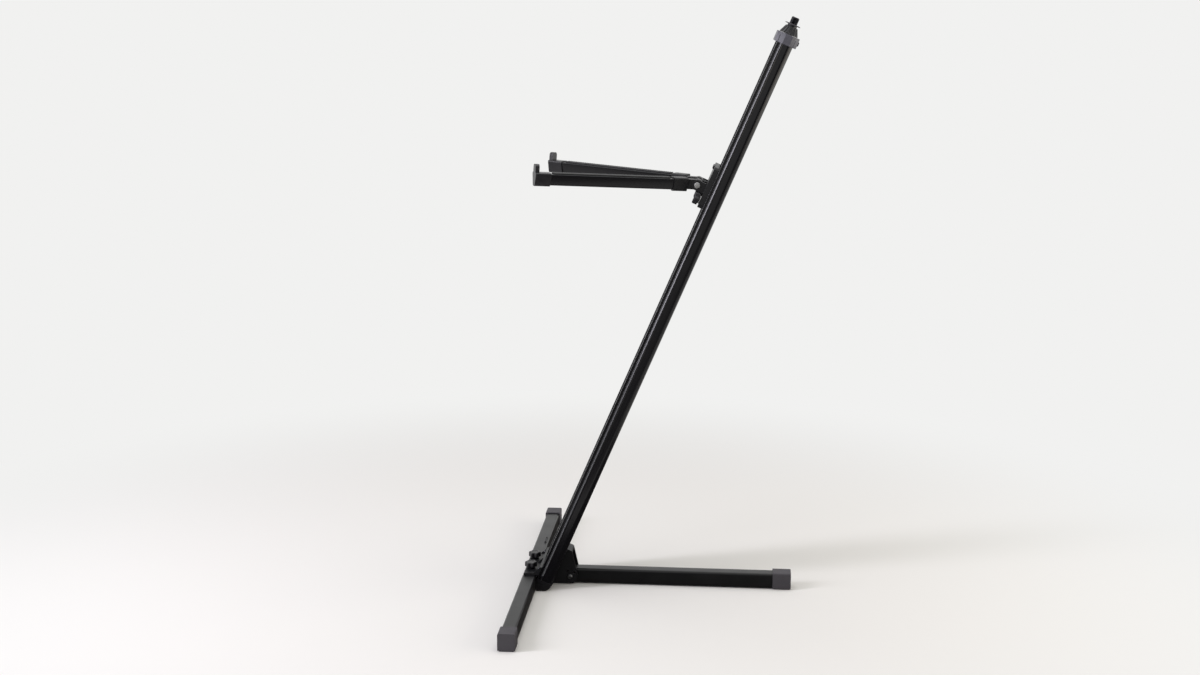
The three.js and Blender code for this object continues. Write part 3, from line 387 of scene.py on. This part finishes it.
# pieces
def replaceNode(node, mesh, sharp=35, material=None):
    # shows a mesh in a node's stead, on its body and in its slot, smooth up to an angle in degrees
    slot = slotOf(node)
    mesh.polygons.foreach_set("use_smooth", np.ones(len(mesh.polygons), bool))
    mesh.set_sharp_from_angle(angle=math.radians(sharp))
    mesh.materials.clear()
    mesh.materials.append(material or finishes[slot])
    piece = bpy.data.objects.new(node + "_shell", mesh)
    bpy.context.scene.collection.objects.link(piece)
    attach(piece, bodyOf[node])
    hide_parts(node)
    return piece


def facesToMesh(name, points, faces):
    mesh = bpy.data.meshes.new(name)
    mesh.from_pydata(points.reshape(-1, 3).tolist(), [], faces)
    shape = bmesh.new()
    shape.from_mesh(mesh)
    bmesh.ops.remove_doubles(shape, verts=shape.verts, dist=1e-6)
    bmesh.ops.recalc_face_normals(shape, faces=shape.faces)
    shape.to_mesh(mesh)
    shape.free()
    return mesh


def grid(name, points, closeAlong=False, ends=False):
    # points[i, j] is a surface of two parameters, closed round in j; neighbours in i and j share a
    # four-sided face, closeAlong joins the last row to the first, and ends fill both of them
    rows, columns = points.shape[:2]
    lastRow = rows if closeAlong else rows - 1
    i, j = np.meshgrid(np.arange(lastRow), np.arange(columns), indexing="ij")
    down, right = (i + 1) % rows, (j + 1) % columns
    faces = np.stack([i * columns + j, i * columns + right, down * columns + right,
                      down * columns + j], axis=-1).reshape(-1, 4).tolist()
    if ends:
        faces += [list(range(columns)), list(range((rows - 1) * columns, rows * columns))]
    return facesToMesh(name, points, faces)


def softened(points, radii, steps=4):
    # a path whose corners are rounded: each corner is an arc that touches its two sides,
    # point(s) = centre + (sin((1 - s) A) start + sin(s A) end) / sin A over the arc's angle A
    points = np.asarray(points, float)
    path = []
    for i, radius in enumerate(radii):
        here = points[i]
        if radius == 0:
            path.append(here[None])
            continue
        before = points[i - 1] - here
        after = points[(i + 1) % len(points)] - here
        before /= np.linalg.norm(before)
        after /= np.linalg.norm(after)
        half = math.acos(np.clip(before @ after, -1, 1)) / 2
        centre = here + (before + after) / np.linalg.norm(before + after) * radius / math.sin(half)
        start = here + before * radius / math.tan(half) - centre
        end = here + after * radius / math.tan(half) - centre
        swing = math.pi - 2 * half
        s = np.linspace(0, 1, steps + 1)[:, None]
        arc = (np.sin((1 - s) * swing) * start + np.sin(s * swing) * end) / math.sin(swing)
        path.append(centre + arc)
    return np.concatenate(path)


def standing(node, axes=plainAxes, axis=2, flip=False):
    # the foot of a turned piece: the middle of a node across an axis, at its low end along that
    # axis, or at its high end and pointing down where it is flipped
    low, high = extent(node, axes)
    middle = (low + high) / 2
    middle[axis] = high[axis] if flip else low[axis]
    up = axes[axis] * (-1 if flip else 1)
    side = axes[(axis + 1) % 3]
    return middle @ axes, np.array([side, np.cross(up, side), up])


def hexTo(apothem):
    return lambda angle: apothem / np.cos((angle + math.pi / 6) % (math.pi / 3) - math.pi / 6)


def lobedTo(radius, depth, count):
    return lambda angle: radius - depth * (1 - np.cos(count * angle)) / 2


def turnedMesh(name, rows, foot, steps=40, closed=False):
    # row (r, h) at angle a lies at (r(a) cos a, r(a) sin a, h) from the foot, in millimetres
    origin, basis = foot
    angle = np.linspace(0, 2 * math.pi, steps, endpoint=False)
    radius = np.array([r(angle) if callable(r) else r + 0 * angle for r, h in rows])
    height = np.array([h for r, h in rows])[:, None] + 0 * radius
    local = np.stack([radius * np.cos(angle), radius * np.sin(angle), height], axis=-1) * mm
    return grid(name, origin + local @ basis, closeAlong=closed)


def softRows(points, radii, steps=4):
    return [tuple(p) for p in softened(points, radii, steps)]


# the column: one closed outline carried along its length, in millimetres from its front face
columnSet = {
    "half": 64.5, "wall": 2.8, "railWidth": 21.5, "railDepth": 15, "railBack": 2.5,
    "slotInset": 12.5, "slotHalf": 4, "slotLip": 3, "chamberHalf": 6.5,
    "lipSetback": 2.5, "groove": 1.2, "grooveWidth": 1.6, "flank": 0.6,
    "beadStart": 7.6, "beadDrop": 1.45, "bevelEnd": 9.2, "bevelDrop": 0.33, "ridge": 3,
    "ridgeCrown": 0.1, "ridgeRise": 0.8, "rearRadius": 11,
}


def columnShell():
    # point (u, v, t) = outline(s) in u and v, at the low end and the high end of the column in t
    c = columnSet
    low, high = extent("column_extrusion", columnAxes)
    half = c["half"]
    depth = (high[0] - low[0]) / mm
    flat, lip, slot = half - c["ridgeRise"], half - c["lipSetback"], half - c["slotInset"]
    rail, back = half - c["railWidth"], c["railDepth"] - c["railBack"]
    groove = c["slotLip"] + c["flank"]
    corners = [  # u, v and the corner's radius
        (depth - c["wall"], flat - c["wall"], c["rearRadius"] - c["wall"]),
        (c["railDepth"], flat - c["wall"], 0.5), (c["railDepth"], rail, 0.5), (0, rail, 0.6),
        (0, slot - c["slotHalf"], 0.4), (c["slotLip"], slot - c["slotHalf"], 0.3),
        (c["slotLip"], slot - c["chamberHalf"], 0.3), (back, slot - c["chamberHalf"], 0.8),
        (back, slot + c["chamberHalf"], 0.8), (c["slotLip"], slot + c["chamberHalf"], 0.3),
        (c["slotLip"], slot + c["slotHalf"], 0.3), (0, slot + c["slotHalf"], 0.4),
        (0, lip, 1.0), (c["slotLip"], lip, 0.3), (groove, lip - c["groove"], 0.25),
        (groove + c["grooveWidth"], lip - c["groove"], 0.25),
        (groove + c["grooveWidth"] + c["flank"], lip, 0.25),
        (c["beadStart"], half - c["beadDrop"], 0.5), (c["bevelEnd"], half - c["bevelDrop"], 1.2),
        (c["bevelEnd"] + c["ridge"] / 2, half + c["ridgeCrown"], 1.5),
        (c["bevelEnd"] + c["ridge"], flat, 0.4),
        (depth, flat, c["rearRadius"]),
    ]
    path = softened([(0, 0)] + [(u, v) for u, v, r in corners] + [(depth, 0)],
                    [0] + [r for u, v, r in corners] + [0], 8)[1:-1]
    outline = np.concatenate([path, (path * (1, -1))[::-1]]) * mm
    rings = [np.c_[outline[:, 0] + low[0], outline[:, 1], np.full(len(outline), t)] @ columnAxes
             for t in (low[2], high[2])]
    replaceNode("column_extrusion", grid("column", np.array(rings), ends=True), 20)


columnShell()
print("column made")


# what turns about an axis: knobs, cone, stud, screws, washers, bushes and pins
knobSet = {"radius": 12.6, "lobeDepth": 2.6, "lobes": 6, "hub": 8, "hubHeight": 1.4,
           "top": 11.6, "bore": 4.3, "boreTop": 8.6, "rim": 2.4, "lowRim": 1.0, "dish": 7.4,
           "dishDepth": 0.7, "dishSlope": 0.9, "lobeFade": 0.25}


def knobRows():
    k = knobSet
    rows = softRows([(0, k["boreTop"]), (k["bore"], k["boreTop"]), (k["bore"], 0), (k["hub"], 0),
                     (k["hub"], k["hubHeight"])], [0, 0.3, 0.4, 0.6, 0])
    for a in np.linspace(-math.pi / 2, 0, 5):    # the lower edge of the lobes
        inset = k["lowRim"] * (1 - math.cos(a))
        rows.append((lobedTo(k["radius"] - inset, k["lobeDepth"], k["lobes"]),
                     k["hubHeight"] + k["lowRim"] * (1 + math.sin(a))))
    for a in np.linspace(0, math.pi / 2, 9):    # the upper edge, which flattens the lobes inwards
        inset = k["rim"] * (1 - math.cos(a))
        depth = k["lobeDepth"] * (1 - k["lobeFade"] * math.sin(a))
        rows.append((lobedTo(k["radius"] - inset, depth, k["lobes"]),
                     k["top"] - k["rim"] * (1 - math.sin(a))))
    floor = k["top"] - k["dishDepth"]
    return rows + softRows([(k["dish"] + k["dishSlope"], k["top"]), (k["dish"], k["top"]),
                            (k["dish"] - k["dishSlope"], floor), (0, floor)], [0, 0.6, 0.5, 0])


for node, axes, axis, flip in (("front_knob_right", plainAxes, 2, False),
                               ("front_knob_left", plainAxes, 2, False),
                               ("rear_knob", plainAxes, 1, False),
                               ("carriage_knob_right", columnAxes, 0, True),
                               ("carriage_knob_left", columnAxes, 0, True)):
    replaceNode(node, turnedMesh(node, knobRows(), standing(node, axes, axis, flip), 120), 50)


coneSet = {"base": 19, "top": 12, "height": 15.5, "ribs": 14, "ribDepth": 1.7, "neck": 9.6,
           "whole": 19.5, "bore": 8.2, "foot": 3, "lip": 0.6, "endRound": 0.9}


def ribbedTo(radius, depth, count):
    # round-backed ribs with narrower grooves between them
    return lambda a: radius - depth / (1 + np.exp(5 * np.cos(count * a) + 1.0))


def coneRows():
    c = coneSet
    rows = softRows([(c["bore"], c["whole"]), (c["bore"], 0), (c["base"] - c["foot"], 0)],
                    [0, 0.3, 0])
    for s in np.linspace(0, 1, 13):    # up the ribs, whose grooves run out towards both ends
        fade = min(1, 4 * s + 0.35, 3.2 * (1 - s) + 0.2)
        radius = c["base"] + (c["top"] - c["base"]) * s
        radius -= c["endRound"] * (1 - min(1, 12 * s + 0.2))
        rows.append((ribbedTo(radius, c["ribDepth"] * fade, c["ribs"]), c["height"] * s))
    rows += softRows([(c["top"] - c["lip"], c["height"]), (c["neck"], c["height"] + 0.2),
                      (c["neck"], c["whole"]), (c["bore"], c["whole"])], [0, 0.8, 0.4, 0])
    return rows


replaceNode("boom_adapter_cone", turnedMesh(
    "cone", coneRows(), standing("boom_adapter_cone", columnAxes), 280, True), 40)

washerSet = {"bore": 8.2, "radius": 15.5, "flat": 12.5, "droop": 0.9, "thick": 1.2}


def boomWasher():
    w = washerSet
    rows = softRows([
        (w["bore"], w["droop"]), (w["flat"], w["droop"]), (w["radius"], 0),
        (w["radius"], w["thick"]), (w["flat"], w["droop"] + w["thick"]),
        (w["bore"], w["droop"] + w["thick"])], [0.2, 4, 0.4, 0.4, 4, 0.3], 5)
    replaceNode("boom_washer", turnedMesh("boomWasher", rows, standing("boom_washer", columnAxes),
                                          72, True))


boomWasher()

studSet = {"radius": 7.9, "flange": 11, "flangeHeight": 4.5, "pitch": 0.94, "thread": 0.55,
           "bevel": 1.2, "plain": 27}


def boomStud():
    # 5/8 inch stud: between its plain foot and its bevelled end, radius = R - T * |2 f - 1|, where
    # f is the fraction left of height / pitch - turns
    s = studSet
    low, high = extent("boom_stud", columnAxes)
    top = (high[2] - low[2]) / mm

    def threaded(height):
        return lambda a: s["radius"] - s["thread"] * np.abs(
            2 * ((height / s["pitch"] - a / (2 * math.pi)) % 1) - 1)
    rows = softRows([(0, 0), (s["flange"], 0), (s["flange"], s["flangeHeight"]),
                     (s["radius"], s["flangeHeight"]), (s["radius"], s["plain"])],
                    [0, 0.4, 0.4, 0, 0])
    rows += [(threaded(h), h) for h in np.arange(s["plain"], top - s["bevel"], s["pitch"] / 6)]
    rows += [(s["radius"] - s["thread"], top - s["bevel"] * 0.9),
             (s["radius"] - s["bevel"] - 0.3, top), (0, top)]
    foot = standing("boom_stud", columnAxes)
    replaceNode("boom_stud", turnedMesh("boomStud", rows, foot, 48), 60)


boomStud()

collarSet = {"front": -6, "frontHalf": 60, "flatStart": 10, "flatEnd": 24, "narrowEnd": 30,
             "narrowHalf": 66.5, "rear": 38, "rearHalf": 54.5, "half": 70.5, "height": 20,
             "roof": 6, "bore": 8.3, "clearance": 0.2, "corner": 0.7, "edge": 1.0, "lowEdge": 0.5,
             "mouthEdge": 0.4}


def rayTo(path, angles):
    # how far a closed path round (0, 0) lies from it at each angle: on the side p to q that the
    # ray crosses, distance = cross(p, q - p) / cross(ray, q - p)
    turn = np.arctan2(path[:, 1], path[:, 0]) % (2 * math.pi)
    order = np.argsort(turn)
    side = order[np.searchsorted(turn[order], angles + 1e-9) - 1]
    p = path[side]
    q = np.roll(path, -1, axis=0)[side] - p
    return (p[:, 0] * q[:, 1] - p[:, 1] * q[:, 0]) / (
        np.cos(angles) * q[:, 1] - np.sin(angles) * q[:, 0])


def topCollar():
    # point = middle + r(a) (cos a, sin a) at height h: from the stud's bore over the column's
    # pocket, out round its mouth, up the faceted outline, whose edges are round, and back
    c = collarSet
    foot = extent("top_collar", columnAxes)[0][2]
    columnLow, columnHigh = extent("column_extrusion", columnAxes)
    depth = (columnHigh[0] - columnLow[0]) / mm
    middle = depth / 2
    corners = [(c["front"], c["frontHalf"]), (c["flatStart"], c["half"]),
               (c["flatEnd"], c["half"]), (c["narrowEnd"], c["narrowHalf"]),
               (c["rear"], c["rearHalf"])]
    corners += [(u, -v) for u, v in reversed(corners)]

    def outline(inset):
        pulled = [(middle + (u - middle) * (1 - inset / (c["rear"] - middle)),
                   v * (1 - inset / c["half"])) for u, v in corners]
        return (softened(pulled, [c["corner"]] * len(pulled), 4) - (middle, 0))[::-1]
    half = columnSet["half"] + c["clearance"]
    pocketHalf = depth / 2 + c["clearance"]
    pocket = np.array([(pocketHalf, half), (-pocketHalf, half), (-pocketHalf, -half),
                       (pocketHalf, -half)])
    angles = np.unique(np.concatenate([
        np.arctan2(p[:, 1], p[:, 0]) % (2 * math.pi)
        for p in (outline(0), outline(c["edge"]), pocket)]).round(6))
    bore, wall = c["bore"] + 0 * angles, rayTo(pocket, angles)
    top, roof = c["height"], c["height"] - c["roof"]
    rows = [(bore, roof), (wall, roof), (wall, c["mouthEdge"]), (wall + c["mouthEdge"], 0)]
    for turn in np.linspace(0, math.pi / 2, 5):
        rows.append((rayTo(outline(c["lowEdge"] * (1 - math.sin(turn))), angles),
                     c["lowEdge"] * (1 - math.cos(turn))))
    for turn in np.linspace(0, math.pi / 2, 6):
        rows.append((rayTo(outline(c["edge"] * (1 - math.cos(turn))), angles),
                     top - c["edge"] * (1 - math.sin(turn))))
    rows.append((bore, top))
    local = np.stack([np.stack([middle + r * np.cos(angles), r * np.sin(angles), h + 0 * r],
                               axis=-1) for r, h in rows]) * mm
    places = (np.array([columnLow[0], 0, foot]) + local) @ columnAxes
    replaceNode("top_collar", grid("topCollar", places, closeAlong=True), 25)


topCollar()

screwSet = {"shank": 2.5, "head": 4.6, "headHeight": 2.8, "socket": 1.5, "socketDepth": 1.6,
            "socketBevel": 0.15}


def screwRows(length):
    s = screwSet
    seat = length - s["headHeight"]
    rows = softRows([(0, 0), (s["shank"] - 0.6, 0), (s["shank"], 0.7), (s["shank"], seat),
                     (s["head"], seat), (s["head"], seat + 0.9),
                     (s["head"] - 1.1, length - 0.25), (s["socket"] + 0.9, length)],
                    [0, 0.2, 0.2, 0.15, 0.3, 1.0, 0.9, 0])
    floor = length - s["socketDepth"]
    return rows + [(hexTo(s["socket"] + s["socketBevel"]), length),
                   (hexTo(s["socket"]), length - 0.2), (hexTo(s["socket"]), floor), (0, floor)]


def screwShell(node, flip):
    low, high = extent(node, columnAxes)
    rows = screwRows((high[0] - low[0]) / mm)
    replaceNode(node, turnedMesh(node, rows, standing(node, columnAxes, 0, flip), 36), 40)


for side in ("left", "right"):
    screwShell("collar_screw_" + side, False)
    screwShell("saddle_screw_" + side, True)
for number in range(1, 5):
    screwShell(f"bracket_screw_{number}", False)


def ringShell(node, outer, inner, axes, axis, soft=0.35, material=None):
    low, high = extent(node, axes)
    thick = (high[axis] - low[axis]) / mm
    rows = softRows([(inner, 0), (outer, 0), (outer, thick), (inner, thick)], [soft] * 4, 3)
    replaceNode(node, turnedMesh(node, rows, standing(node, axes, axis), 56, True), 35, material)


clampBore = 4.3    # millimetres from the axis, and each ring's outer radius below
knobWasherFinish = blackZinc()
for side in ("left", "right"):
    ringShell("front_knob_washer_" + side, 8.5, clampBore, plainAxes, 2,
              material=knobWasherFinish)
    ringShell("carriage_knob_washer_" + side, 8.5, clampBore, columnAxes, 0)
    ringShell("rear_pivot_washer_" + side, 10, clampBore, plainAxes, 1)
ringShell("rear_knob_washer", 8.5, clampBore, plainAxes, 1)
ringShell("rear_pivot_bush", 5.8, clampBore, plainAxes, 1)

pivotSet = {"shank": 4, "head": 5.5, "headHeight": 3.4, "socket": 2.25, "socketDepth": 2.2}


def pivotBolt():
    # button head on the -Y side, its socket facing outwards; its shank ends inside the knob
    p = pivotSet
    low, high = extent("rear_pivot_bolt")
    length = (high[1] - low[1]) / mm
    seat = length - p["headHeight"]
    rows = softRows([(0, 0), (p["shank"], 0), (p["shank"], seat), (p["head"], seat),
                     (p["head"], seat + 0.8), (p["head"] - 1.5, length - 0.35),
                     (p["socket"] + 1.0, length)], [0, 0.8, 0.2, 0.3, 1.6, 1.2, 0], 6)
    rows += [(hexTo(p["socket"] + 0.2), length), (hexTo(p["socket"]), length - 0.25),
             (hexTo(p["socket"]), length - p["socketDepth"]), (0, length - p["socketDepth"])]
    foot = standing("rear_pivot_bolt", plainAxes, 1, True)
    replaceNode("rear_pivot_bolt", turnedMesh("pivotBolt", rows, foot, 60), 40, dulledZinc())


pivotBolt()

bushSet = {"barrel": 3.6, "flange": 4.4, "flangeThick": 1.2, "bore": 2.6}


def indexBush():
    b = bushSet
    low, high = extent("index_bush")
    length = (high[1] - low[1]) / mm
    rows = softRows([(b["bore"], 0), (b["barrel"], 0), (b["barrel"], length - b["flangeThick"]),
                     (b["flange"], length - b["flangeThick"]), (b["flange"], length),
                     (b["bore"], length)], [0.2, 0.2, 0.1, 0.2, 0.6, 0.7])
    replaceNode("index_bush", turnedMesh(
        "indexBush", rows, standing("index_bush", plainAxes, 1, True), 48, True))


indexBush()

pinSet = {"shank": 4, "head": 6, "headHeight": 2.4}


def hingePin(node):
    p = pinSet
    low, high = extent(node)
    length = (high[1] - low[1]) / mm
    half = softRows([(0, 0), (p["head"], 0), (p["head"], p["headHeight"]),
                     (p["shank"], p["headHeight"])], [0, 1.2, 0.3, 0.1])
    rows = half + [(r, length - h) for r, h in reversed(half)]
    replaceNode(node, turnedMesh(node, rows, standing(node, plainAxes, 1), 40))


hingePin("arm_hinge_pin_left")
hingePin("arm_hinge_pin_right")
print("turned pieces made")


# ribbed rubber strips on the arms
padSet = {"pitch": 4.0, "groove": 0.7, "round": 0.8, "stepsPerRib": 6}


def armPad(node, side):
    # a rounded strip whose top falls by groove * cos^4(pi y / pitch) between the ribs
    p = padSet
    along = longAxis("arm_" + side)
    up = np.cross(along, acrossColumn)
    up *= np.sign(up[2]) / np.linalg.norm(up)
    axes = np.array([np.cross(along, up), up, along])
    low, high = extent(node, axes)
    middle, half = (low + high) / 2, (high - low) / 2 / mm
    corner = [(half[0], half[1]), (-half[0], half[1]), (-half[0], -half[1]), (half[0], -half[1])]
    outline = softened(corner, [p["round"]] * 4, 5) * mm + middle[:2]
    count = int(2 * half[2] / p["pitch"]) * p["stepsPerRib"]
    y = np.linspace(low[2], high[2], count)
    fall = p["groove"] * mm * np.cos(math.pi * (y - middle[2]) / (p["pitch"] * mm)) ** 4
    points = np.empty((count, len(outline), 3))
    points[:, :, 0] = outline[:, 0]
    points[:, :, 1] = outline[:, 1] - np.where(outline[:, 1] > middle[1], 1, 0) * fall[:, None]
    points[:, :, 2] = y[:, None]
    replaceNode(node, grid(node, points @ axes, ends=True), 50)


armPad("arm_pad_left", "left")
armPad("arm_pad_right", "right")
print("pads made")


# the rest: copies of the nodes with their hard edges rounded
softSet = {"segments": 2, "edgeAngle": 30, "mergeMm": 0.002, "flatAngle": 0.5}


def softenedCopy(node, width, material=None):
    s = softSet
    shape = bmesh.new()
    shape.from_mesh(frame["nodes"][node].data)
    bmesh.ops.remove_doubles(shape, verts=shape.verts, dist=s["mergeMm"] * mm)
    bmesh.ops.dissolve_limit(shape, angle_limit=math.radians(s["flatAngle"]), verts=shape.verts,
                             edges=shape.edges)
    mesh = bpy.data.meshes.new(node + "_soft")
    shape.to_mesh(mesh)
    shape.free()
    piece = replaceNode(node, mesh, material=material)
    bevel = piece.modifiers.new("bevel", "BEVEL")
    bevel.width = width * mm
    bevel.segments = s["segments"]
    bevel.limit_method = "ANGLE"
    bevel.angle_limit = math.radians(s["edgeAngle"])
    bevel.harden_normals = True


softEdges = {    # width of the rounding in millimetres
    "bottom_cap": 0.5, "front_saddle": 0.5, "rear_bracket": 0.4, "arm_carriage": 0.7,
    "front_leg_left": 0.3, "front_leg_right": 0.3, "rear_leg": 0.3,
    "front_foot_left": 0.8, "front_foot_right": 0.8, "rear_foot": 0.8,
    "front_leg_nose_plug_left": 0.3, "front_leg_nose_plug_right": 0.3, "rear_leg_end_plug": 0.4,
    "front_leg_bolt_left": 0.4, "front_leg_bolt_right": 0.4,
    "saddle_slot_nut_left": 0.3, "saddle_slot_nut_right": 0.3,
    "slot_key_left": 0.3, "slot_key_right": 0.3,
    "carriage_stud_left": 0.4, "carriage_stud_right": 0.4,
    "arm_root_left": 0.5, "arm_root_right": 0.5, "arm_cap_left": 0.5, "arm_cap_right": 0.5,
}
for node, width in softEdges.items():
    softenedCopy(node, width)
softenedCopy("leg_bumper_left", 0.2, material=finishes["pad_rubber"])
for side in ("left", "right"):
    node = "arm_" + side
    softenedCopy(node, 0.25, material=anodisedAluminium("anodised_aluminium_arm_" + side,
                                                        longAxis(node)))
print("softened pieces made")
